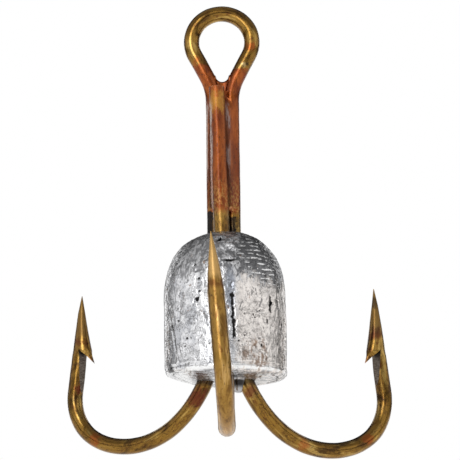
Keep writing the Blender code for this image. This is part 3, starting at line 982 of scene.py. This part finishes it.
def make_seam(name, wires, outside, top, pools, rise):
    """One groove's braze. Pools are its circle's radius at top and foot; rise is how fast it fills."""
    count = math.ceil((top - BRAZE_FOOT) / SEAM_STEP)
    sections = []
    for i in range(count + 1):
        z = top + (BRAZE_FOOT - top) * i / count
        full = ease((top - z) / rise) * ease((z - BRAZE_FOOT) / SEAM_FADE + 0.2)
        ripple = 1 + 0.08 * math.sin(1.9 * z + rise) + 0.05 * math.sin(4.3 * z + 2.1 * rise)
        pool_r = pools[0] + (pools[1] - pools[0]) * i / count
        pool_r = SEAM_END_R + (pool_r * ripple - SEAM_END_R) * full
        ends = [centre_at(paths[wire], z) for wire in wires]
        section = seam_section(*ends, Vector(outside), pool_r)
        sections.append([(px, py, z) for px, py in section])
    return loft(name, sections, braze_finish)


WEB_HALF = 1.9
WEB_HOLLOW_R = 1.12
WEB_HALF_THICK = 0.5
WEB_SHOULDER = -9.0
WEB_FOOT = -12.0
WEB_SLICES = 30
WEB_EDGE_STEPS = 12


def make_web(name):
    """The braze that fills the crotch under the eye, with a rounded hollow top edge."""
    sections = []
    for i in range(WEB_SLICES + 1):
        x = WEB_HALF * math.sin(math.radians(180 / WEB_SLICES * i - 90))
        saddle = WEB_HOLLOW_R - math.sqrt(max(0.0, WEB_HOLLOW_R ** 2 - min(abs(x), WEB_HOLLOW_R) ** 2))
        thick = WEB_HALF_THICK + 0.4 * saddle
        top = BRAZE_TOP + saddle
        outline = []
        for k in range(WEB_EDGE_STEPS + 1):
            turn = math.pi * k / WEB_EDGE_STEPS
            z = top - thick + thick * math.sin(turn)
            outline.append((x, leg_jog(z) - thick * math.cos(turn), z))
        for z, side in ((WEB_SHOULDER, 1), (WEB_FOOT, 1), (WEB_FOOT, -1), (WEB_SHOULDER, -1)):
            outline.append((x, leg_jog(z) + side * thick, z))
        sections.append(outline)
    return loft(name, sections, braze_finish)


LEFT, RIGHT, BEHIND = (-1, -0.6), (1, -0.6), (0, 1)
SEAM_TOP = FRONT_END - 0.1
REAR_TOP = -10.6
seams = {
    "braze_left_seam": make_seam("braze_left_fillet", ("left", "front"), LEFT, SEAM_TOP, (0.9, 4.5), 2.0),
    "braze_right_seam": make_seam("braze_right_fillet", ("right", "front"), RIGHT, SEAM_TOP, (4.0, 7.0), 6.0),
    "braze_rear_seam": make_seam("braze_rear_fillet", ("left", "right"), BEHIND, REAR_TOP, (1.6, 1.9), 1.5),
}
web = make_web("braze_crotch_web")
print("braze pieces:", [piece.name for piece in seams.values()], web.name)

# %% [markdown]
# ## The lead weight
# The weight is cast in a simple mould, so it is a turned shape with a sagging dome, wrinkles where the metal
# froze, pits from gas, file marks on one shoulder, and a drip under the pouring spot. The body follows
# a profile turned round the shank, and each kind of mark is a separate height added along the surface.

# %% Profile and marks of the weight
LEAD_AROUND = 330
LEAD_UP = 250
LEAD_RIM_STEPS = 6
LEAD_DOME_STEPS = 40


def lead_profile():
    """(radius, height) from the middle of the underside up to the top of the dome."""
    profile = [(0.0, LEAD_FOOT), (4.0, LEAD_FOOT)]
    for i in range(LEAD_RIM_STEPS + 1):
        turn = math.radians(90 / LEAD_RIM_STEPS * i)
        rim = LEAD_R - LEAD_RIM_R + LEAD_RIM_R * math.sin(turn)
        profile.append((rim, LEAD_FOOT + LEAD_RIM_R - LEAD_RIM_R * math.cos(turn)))
    dome = LEAD_TOP - LEAD_SHOULDER
    fullness = 2 / LEAD_DOME_POWER
    for i in range(LEAD_DOME_STEPS, -1, -1):
        turn = math.radians(90 * i / LEAD_DOME_STEPS)
        height = LEAD_SHOULDER + dome * math.cos(turn) ** fullness
        profile.append((LEAD_R * math.sin(turn) ** fullness, height))
    return profile


def on_lead(azimuth, z):
    """Point on the weight's side; azimuth 0 is the front and grows to the right."""
    radius = LEAD_R
    if z > LEAD_SHOULDER:
        up = (z - LEAD_SHOULDER) / (LEAD_TOP - LEAD_SHOULDER)
        radius = LEAD_R * (1 - up ** LEAD_DOME_POWER) ** (1 / LEAD_DOME_POWER)
    turn = math.radians(azimuth)
    return Vector((radius * math.sin(turn), -radius * math.cos(turn), z))


GAS_PITS = (  # azimuth, height, radius, depth
    (-27, -45.8, 0.5, 0.4), (-25, -44.6, 0.3, 0.3), (-25, -42.6, 0.3, 0.2), (-48, -44.6, 0.26, 0.3),
    (-50, -48.9, 0.24, 0.2), (18, -48.4, 0.2, 0.25), (27, -48.6, 0.22, 0.25), (35, -53.3, 0.28, 0.3),
    (49, -46.2, 0.26, 0.3), (-5, -35.7, 0.65, 0.7), (67, -49.4, 0.34, 0.3), (69, -50.8, 0.3, 0.3),
    (-38, -52.0, 0.24, 0.15), (33, -52.2, 0.2, 0.25), (-62, -46.5, 0.26, 0.2), (12, -52.8, 0.22, 0.2),
    (150, -47.0, 0.4, 0.35), (-140, -43.0, 0.35, 0.3), (120, -52.0, 0.3, 0.3), (-100, -50.0, 0.35, 0.3),
    (-165, -53.5, 0.4, 0.3), (-120, -46.0, 0.3, 0.3), (175, -41.0, 0.35, 0.3), (95, -44.5, 0.3, 0.25),
)
COLD_SHUTS = (  # lines of (azimuth, height) where two flows of metal met without joining
    ((6.2, -43.6), (6.4, -46.0), (7.0, -49.0), (8.0, -52.3)),
    ((48, -45.4), (47, -47.6)),
    ((42, -49.2), (38, -51.5)),
    ((66, -48.8), (68, -51.2)),
    ((160, -42.0), (163, -47.0), (158, -51.0)),
    ((-112, -44.0), (-108, -47.0)),
)
FLOW_LINES = (
    ((-63, -47.6), (-56, -51.5), (-48, -56.3)),
    ((18, -47.9), (27, -48.2), (40, -47.4)),
    ((57, -43.5), (60, -47.0), (62, -53.0)),
    ((-70, -50.0), (-60, -52.0)),
    ((130, -45.0), (120, -50.0), (124, -55.0)),
    ((-150, -48.0), (-130, -50.5)),
)
DIMPLE = (4.0, -38.2)
counts = [len(marks) for marks in (GAS_PITS, COLD_SHUTS, FLOW_LINES)]
print("gas pits, cold shuts and flow lines on the weight:", counts)

# %% The weight's tree
GRID_WELD = 0.002
WORN_HEIGHT = 2.4
UNDER_LINE_R = 8.4
MOULD_LINE = LEAD_FOOT + 1.35
FILED_AT = (45, -38.6)
FILED_R = 7.0
FILE_STROKES = 8.2


def lead_tree():
    inputs = {"Around": int, "Up": int, "Sag": float, "Wrinkle": float, "Pits": "object",
              "Cold shuts": "object", "Flow lines": "object", "Finish": "material"}
    nodes, given, result = geometry_tree("cast_lead", inputs)
    geometry, noise, band, near, combine = nodes.geometry, nodes.noise, nodes.band, nodes.near, nodes.combine

    profile = geometry("MeshToCurve", Mesh=given["Geometry"])
    grid = geometry("MeshGrid", Size_X=1.0, Size_Y=1.0, Vertices_X=given["Around"], Vertices_Y=given["Up"])
    across, upward, _ = nodes.parts(geometry("InputPosition"))
    settings = {"mode": "FACTOR", "use_all_curves": True}
    sample = geometry("SampleCurve", settings, "Position", Curves=profile, Factor=upward + 0.5)
    radius, _, height = nodes.parts(sample)
    turn = across * (2 * math.pi)
    ring_x = radius * turn.maths("SINE", turn)
    turned = combine(ring_x, radius * turn.maths("COSINE", turn) * -1.0, height)
    body = geometry("SetPosition", Geometry=grid, Position=turned)
    body = geometry("MergeByDistance", Geometry=body, Distance=GRID_WELD * MM)

    metres = geometry("InputPosition")
    place = nodes.scaled(metres, 1 / MM)
    x, y, z = nodes.parts(place)
    freeze = noise(place, 1.1, 4.0, 0.6, 0.6, (1, 1, 0.45), 11.0)
    crumple = noise(place, 1.0, 4.0, 0.6, 0.8, (1, 1, 1.2), 14.0)

    sag = (noise(place, 0.16, 1.0, seed=2.0) - 0.5) * given["Sag"]
    lumps = (noise(place, 0.5, 2.0, 0.5, 0.3, (1, 1, 0.8), 7.0) - 0.5) * 0.16
    relief = sag + lumps + (freeze - 0.5) * given["Wrinkle"]

    low = (LEAD_FOOT + WORN_HEIGHT - z) / WORN_HEIGHT
    low = low.maths("MAXIMUM", low, 0.0)
    relief = relief - low ** 2.0 * (1 - band(x, -9.0, -3.0)) * 0.75
    from_axis = nodes.distance(combine(x, y), (0, 0, 0))
    under_line = near(combine(from_axis + (freeze - 0.5) * 1.2), (UNDER_LINE_R, 0, 0), 0.25)
    under_face = 1 - band(z, LEAD_FOOT + 0.1, LEAD_FOOT + 0.4)
    under_line = under_line * under_face
    relief = relief - under_line * 0.15
    relief = relief + band(z, -42.5, -39.5) * (crumple - 0.5) * 0.3

    phase = z * FILE_STROKES + noise(place, 0.35, seed=6.0) * 7.0
    filed = near(place, on_lead(*FILED_AT), FILED_R, (freeze - 0.5) * FILED_R)
    strokes = band(phase.maths("SINE", phase), 0.45, 0.85)
    cut = filed * (strokes * band(noise(place, 0.9, 3.0, 0.6, stretch=(1, 1, 2.5), seed=19.0), 0.44, 0.54))
    relief = relief - cut * 0.1

    dimple = near(place, on_lead(*DIMPLE), 1.9, (crumple - 0.5) * 0.8)
    lip = near(place, on_lead(DIMPLE[0] + 0.5, DIMPLE[1] - 1.35), 1.0, squeeze=(0.7, 1.0, 1.9))
    relief = relief - dimple * 0.55 - lip * 0.5

    def line_mark(lines, width):
        """1 on the lines and 0 a width away, with a ragged edge."""
        shapes = nodes.add("GeometryNodeObjectInfo", None, {"Object": given[lines]}, "Geometry")
        away = geometry("Proximity", {"target_element": "EDGES"}, "Distance", Geometry=shapes)
        broken = band(noise(place, 0.45, 3.0, 0.6, 0.3, (1, 1, 0.6), 71.0), 0.42, 0.52)
        return (1 - band(away / MM + (crumple - 0.5) * 1.1, width * 0.3, width)) * broken

    shut = line_mark("Cold shuts", 0.4)
    flow = line_mark("Flow lines", 0.2)
    relief = relief - shut * 0.3 - flow * 0.1

    cells = nodes.add("ShaderNodeTexVoronoi", {"feature": "DISTANCE_TO_EDGE"},
                      {"Vector": nodes.vector("MULTIPLY", place, (1, 1, 0.45)), "Scale": 0.42})
    crack = 1 - band(cells + (freeze - 0.5) * 0.2, 0.0, 0.035)
    crack = crack * band(noise(place, 0.4, 2.0, 0.6, seed=23.0), 0.5, 0.56)
    mould_line = near(combine(0, 0, z + (freeze - 0.5) * 0.5), (0, 0, MOULD_LINE), 0.22)
    cells = nodes.add("ShaderNodeTexVoronoi", {"feature": "F1"},
                      {"Vector": place, "Scale": 0.75, "Randomness": 1.0})
    pores = (1 - band(cells, 0.1, 0.2)) * band(noise(place, 0.5, 1.0, seed=29.0), 0.45, 0.6)
    relief = relief - crack * 0.1 - mould_line * 0.07 - pores * 0.1

    pits = nodes.add("GeometryNodeObjectInfo", None, {"Object": given["Pits"]}, "Geometry")
    nearest = geometry("SampleNearest", {"domain": "POINT"}, Geometry=pits, Sample_Position=metres)

    def of_pit(value, kind="FLOAT"):
        settings = {"data_type": kind, "domain": "POINT"}
        return geometry("SampleIndex", settings, Geometry=pits, Value=value, Index=nearest)

    pit_at = of_pit(geometry("InputPosition"), "FLOAT_VECTOR")
    pit_r = of_pit(nodes.stored("pit_radius", "FLOAT"))
    fine = noise(place, 3.2, seed=61.0)
    away = nodes.distance(metres, pit_at) / MM / pit_r + (crumple + fine - 1.0) * 1.8
    pit = 1 - band(away, 0.35, 1.0)
    relief = relief - pit * of_pit(nodes.stored("pit_depth", "FLOAT"))

    hollow = under_line * 0.7 + pit + crack * 0.55 + pores * 0.8 + lip + shut + flow * 0.5
    for name, mark in (("hollow", hollow), ("filed", filed), ("file_cut", cut)):
        body = nodes.store(body, name, mark)

    push = nodes.scaled(geometry("InputNormal"), relief * MM)
    drip = 1 - band(nodes.distance(combine(x, y), (DRIP_X, DRIP_Y, 0)), DRIP_R * 0.45, DRIP_R * 1.1)
    drop = combine(0, 0, drip * under_face * -DRIP_LENGTH * MM)
    body = geometry("SetPosition", Geometry=body, Offset=nodes.vector("ADD", push, drop))
    nodes.hand_over(body, given["Finish"], result)
    return nodes


lead_nodes = lead_tree()
print("the weight's tree has", len(lead_nodes.tree.nodes), "nodes")

# %% [markdown]
# ## Cast lead
# Fresh lead is bright, and dulls to grey where it has been handled or where dross froze into its skin. The
# flanks stay bright with dark flecks, and flux has left tan stains. The dome is grey in ragged patches,
# partly dross and partly a painted dark reflection. A painted highlight runs round the weight just above its
# foot, and painted shade darkens the underside round the wires and the drip's root.

# %% Finish of the lead
def cast_lead():
    finish, nodes, shader = new_material("cast_lead")
    place = millimetres(nodes)
    band, near, noise, mix = nodes.band, nodes.near, nodes.noise, nodes.mix
    x, _, z = nodes.parts(place)
    hollow, filed, file_cut = [
        nodes.add("ShaderNodeAttribute", {"attribute_name": name}, None, 2)
        for name in ("hollow", "filed", "file_cut")
    ]
    cloud = noise(place, 0.5, 4.0, 0.6, 0.5, (1, 1, 0.5), 3.0)
    ragged = noise(place, 0.9, 5.0, 0.7, 0.8, (1, 1, 0.7), 31.0)
    fleck = noise(place, 1.15, 5.0, 0.65, 0.7, (1, 1, 0.55), 37.0)
    vein = noise(place, 0.7, 4.0, 0.6, 0.7, (1, 1, 0.4), 39.0)
    grain = noise(place, 2.4, 3.0, 0.6, 0.3, (1, 1, 0.6), 43.0)
    spots = noise(place, 0.9, 4.0, 0.6, 0.4, seed=57.0)
    torn = ragged - 0.5

    bright = nodes.coats(
        mix(band(cloud, 0.4, 0.54), colour(200, 201, 205), colour(232, 232, 234)),
        (band(x + torn * 3.0, 1.2, 2.4) * 0.6, colour(232, 222, 212)),
    )
    grey = nodes.coats(
        mix(band(x, -2.0, 3.0), colour(150, 150, 152), colour(116, 116, 118)),
        (band(fleck, 0.49, 0.53) * 0.85, colour(224, 224, 226)),
    )
    # Painted reflection and dross: the dome is grey in ragged patches, partly dross skin and partly a painted
    # dark reflection of what is above it; that grey darkens to the right.
    dross_and_dark_reflection = band(z + torn * 13.0, -42.6, -42.0)
    line = 1 - band(abs(vein - 0.5), 0.004, 0.016)
    # A blue-grey band beside the front hook, drawn out up and down.
    blue_grey_band = near(place, on_lead(4.6, -44.6), 1.1, torn * 0.9, squeeze=(1.0, 1.0, 0.22))
    at_edge = band(abs(x), 7.6, 9.5) * 0.035
    # Painted highlight: a ragged near-white band just above the foot stands for light on the rounded rim.
    rim_z = z + torn * 0.9
    rim = band(rim_z, LEAD_FOOT + 0.1, LEAD_FOOT + 0.3) * (1 - band(rim_z, LEAD_FOOT + 0.8, LEAD_FOOT + 1.1))
    rim = rim * band(ragged + (1 - band(abs(x), 4.5, 9.0)) * 0.12, 0.47, 0.53)
    corner = near(place, on_lead(-66, LEAD_FOOT + 0.8), 1.7, (fleck - 0.5) * 3.0)
    under = 1 - band(z, LEAD_FOOT + 0.1, LEAD_FOOT + 0.4)
    flux = near(place, on_lead(30, -54.8), 3.4, torn * 6.0)
    tan = flux * band(fleck, 0.48, 0.54) + band(spots, 0.65, 0.7)
    # Painted shade: the drip is painted darker towards its root, where it hangs from the underside.
    drip = mix(band(z, LEAD_FOOT - 1.9, LEAD_FOOT - 1.0), colour(176, 175, 176), colour(46, 44, 44))
    # Painted shadow: the underside is painted near black round each wire where it comes out.
    lead_exit_shadows = [near(place, on_bend(name, LEAD_FOOT), 2.3, torn * 1.5) for name in paths]
    tone = nodes.coats(
        mix(dross_and_dark_reflection, bright, grey),
        (line * band(cloud, 0.4, 0.5) * 0.6, colour(120, 120, 123)),
        (blue_grey_band * 0.75, colour(128, 134, 146)),
        (band(fleck + at_edge, 0.6, 0.64) * 0.8, colour(112, 111, 111)),
        (band(grain + at_edge, 0.65, 0.69) * 0.85, colour(60, 58, 57)),
        (filed * 0.9, colour(104, 104, 106)),
        (band(file_cut, 0.25, 0.5), colour(240, 240, 240)),
        (rim * 0.85, colour(244, 244, 244)),
        (corner * 0.9, colour(36, 35, 36)),
        (under * band(ragged, 0.44, 0.54) * 0.75, colour(112, 112, 115)),
        (tan.maths("MINIMUM", tan, 1.0) * 0.75, colour(132, 102, 78)),
        *[(lead_exit_shadow * under, colour(14, 13, 13)) for lead_exit_shadow in lead_exit_shadows],
        (1 - band(z + torn * 0.5, LEAD_FOOT - 0.4, LEAD_FOOT - 0.1), drip),
        (band(hollow, 0.3, 0.8), colour(24, 23, 23)),
    )
    rough = 0.13 + dross_and_dark_reflection * 0.1 + band(fleck, 0.52, 0.64) * 0.15 + band(hollow, 0.3, 0.8) * 0.3
    height = noise(place, 0.9, 4.0, 0.6, 0.5, (1, 1, 0.6), 45.0) + grain * 0.2
    feed(nodes, shader, Base_Color=tone, Metallic=0.8, Roughness=rough, Normal=bump(nodes, height, 0.16))
    return finish


lead_finish = cast_lead()
print("lead finish:", lead_finish.name)

# %% Turning the weight
SAG = 0.35
WRINKLE = 0.12


def line_object(name, lines):
    """Lines on the weight's side as one object of edges."""
    corners = []
    edges = []
    for line in lines:
        edges += [(len(corners) + i, len(corners) + i + 1) for i in range(len(line) - 1)]
        corners += [on_lead(azimuth, z) for azimuth, z in line]
    return mesh_object(name, corners, edges=edges)


def make_lead():
    pits = mesh_object("gas_pits", [on_lead(azimuth, z) for azimuth, z, _, _ in GAS_PITS])
    shuts = line_object("cold_shuts", COLD_SHUTS)
    flows = line_object("flow_lines", FLOW_LINES)
    add_attribute(pits, "pit_radius", [pit[2] for pit in GAS_PITS])
    add_attribute(pits, "pit_depth", [pit[3] for pit in GAS_PITS])
    profile = lead_profile()
    edges = [(i, i + 1) for i in range(len(profile) - 1)]
    line = mesh_object("cast_lead_weight", [(radius, 0.0, z) for radius, z in profile], edges=edges)
    settings = {"Around": LEAD_AROUND, "Up": LEAD_UP, "Sag": SAG, "Wrinkle": WRINKLE, "Pits": pits,
                "Cold shuts": shuts, "Flow lines": flows, "Finish": lead_finish}
    weight = run_tree(line, lead_nodes, settings)
    for marks in (pits, shuts, flows):
        bpy.data.objects.remove(marks)
    smooth_piece(weight, 60.0)
    return weight


weight = make_lead()
print("weight is", [round(side / MM, 1) for side in weight.dimensions], "mm")

# %% [markdown]
# ## Riding on the frame
# Nothing moves on this object, so every piece rides on the one body. Each piece stands for its node in the
# frame, whose own mesh is hidden, and keeps its own finish.

# %% Pieces on the frame
hooked_up = [
    (double_hook, "double_hook", "bronzed_steel"),
    (single_hook, "single_hook", "bronzed_steel"),
    (weight, "lead_weight", "cast_lead"),
    *[(piece, node, "copper_braze") for node, piece in seams.items()],
]
for piece, node, slot in hooked_up:
    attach(piece, "root")
    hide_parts(node)
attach(web, "root")
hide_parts("braze_rear_seam")
print("pieces on the frame:", len(hooked_up) + 1)

# %% [markdown]
# ## Floor, light and background
# The hook stands on its three bends on a pale floor. The camera is lower than the floor, so the floor lets
# light through from below and only its upper side is solid. A tall softbox to the front left draws the long
# highlights and throws the front hook's shadow on the weight, and two wide ones light the sides.

# %% Floor
FLOOR_SIZE = 4.0
FLOOR_TONE = (0.86, 0.86, 0.85, 1.0)
FLOOR_GLOW = 0.6
WHITE = (1.0, 1.0, 1.0, 1.0)


def make_floor():
    half = FLOOR_SIZE / 2 / MM
    z = hook_low.z / MM
    corners = [(-half, -half, z), (half, -half, z), (half, half, z), (-half, half, z)]
    floor = mesh_object("floor", corners, faces=[(0, 1, 2, 3)])
    finish, nodes, shader = new_material("pale_floor")
    feed(nodes, shader, Base_Color=FLOOR_TONE, Roughness=0.8, Emission_Color=WHITE,
         Emission_Strength=FLOOR_GLOW)
    clear = nodes.add("ShaderNodeBsdfTransparent")
    below = nodes.add("ShaderNodeNewGeometry", None, None, "Backfacing")
    both = nodes.add("ShaderNodeMixShader", None, {0: below, 1: Value(nodes, shader.outputs[0]), 2: clear})
    exit_node = nodes.tree.nodes["Material Output"]
    nodes.tree.links.new(both.socket, exit_node.inputs["Surface"])
    floor.data.materials.append(finish)
    return floor


floor = make_floor()
print("floor at", round(hook_low.z / MM, 2), "mm")

# %% Softboxes and background
LIGHT_AIM = Vector((0.0, 0.0, -35.0))
TENT_OPENING = 0.35
TENT_GLOW = 1.08
DARK_GLOW = 0.04
GAP_TOP = 0.14


def softbox(name, azimuth, elevation, distance, width, height, glow):
    """Area light round the hook. Azimuth 0 is the camera's side, and glow is its brightness as seen."""
    turn = math.radians(azimuth)
    rise = math.radians(elevation)
    away = Vector((math.sin(turn) * math.cos(rise), -math.cos(turn) * math.cos(rise), math.sin(rise)))
    lamp = bpy.data.lights.new(name, "AREA")
    lamp.shape = "RECTANGLE"
    lamp.size = width * MM
    lamp.size_y = height * MM
    lamp.energy = glow * math.pi * lamp.size * lamp.size_y
    box = add_object(name, lamp)
    box.location = (LIGHT_AIM + away * distance) * MM
    box.rotation_euler = away.to_track_quat("Z", "Y").to_euler()
    box.visible_camera = False
    return box


def make_background():
    """Plain white behind the object, and a light tent that is open behind and along the table's far edge."""
    world = bpy.data.worlds.new("studio")
    world.use_nodes = True
    bpy.context.scene.world = world
    nodes = Nodes(world.node_tree)
    _, dy, dz = nodes.parts(nodes.add("ShaderNodeTexCoord", None, None, "Generated"))
    sides = 1 - nodes.band(dy, TENT_OPENING - 0.25, TENT_OPENING + 0.25)
    by_camera = 1 - nodes.band(dy * -1.0, 0.9, 0.975) * 0.6
    above = 1 - nodes.band(dz, 0.35, 0.62) * 0.62
    gap = nodes.band(dz, -0.03, 0.01) * (1 - nodes.band(dz, GAP_TOP - 0.03, GAP_TOP + 0.03)) * 0.88
    felt = sides * by_camera * above * (1 - gap) * (TENT_GLOW - DARK_GLOW) + DARK_GLOW
    direct = nodes.add("ShaderNodeLightPath", None, None, "Is Camera Ray")
    strength = direct * (1 - felt) + felt
    shader = world.node_tree.nodes["Background"]
    shader.inputs["Color"].default_value = WHITE
    world.node_tree.links.new(strength.socket, shader.inputs["Strength"])


softbox("key", -19, 18, 620, 220, 420, 3.5)
softbox("rear_left", -150, 14, 620, 130, 420, 1.8)
softbox("rear_right", 150, 14, 620, 130, 420, 1.8)
make_background()
bpy.context.scene.view_settings.view_transform = "Standard"
